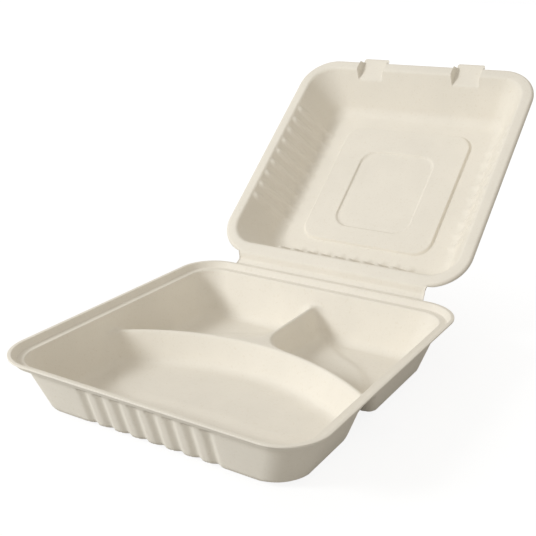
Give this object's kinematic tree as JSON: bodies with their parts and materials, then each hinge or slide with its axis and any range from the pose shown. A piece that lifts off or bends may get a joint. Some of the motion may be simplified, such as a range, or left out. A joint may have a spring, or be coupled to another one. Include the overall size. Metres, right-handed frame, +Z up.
{
  "type": "three-compartment meal box",
  "caption": "Open hinged meal box of pressed plant fibre, with a shallow divided tray, fluted walls and a deep lid with a stepped panel and tabs.",
  "frame": {"origin": "middle of the tray's plan, on the table, just in front of the curved divider's foot", "axes": "+X to the right across the box, +Y back towards the hinge, +Z up"},
  "size_m": [0.23, 0.4126, 0.1908],
  "materials": {
    "tray_fibre": "matte pressed fibre",
    "lid_fibre": "matte pressed fibre"
  },
  "bodies": {
    "tray": {"tray": "tray_fibre"},
    "lid": {"lid": "lid_fibre"}
  },
  "joints": [
    {"name": "lid_fold", "type": "hinge", "parent": "tray", "child": "lid", "pos_m": [0, 0.1164, 0.04015], "axis": [1, 0, 0], "range_deg": [-40, 140]}
  ]
}
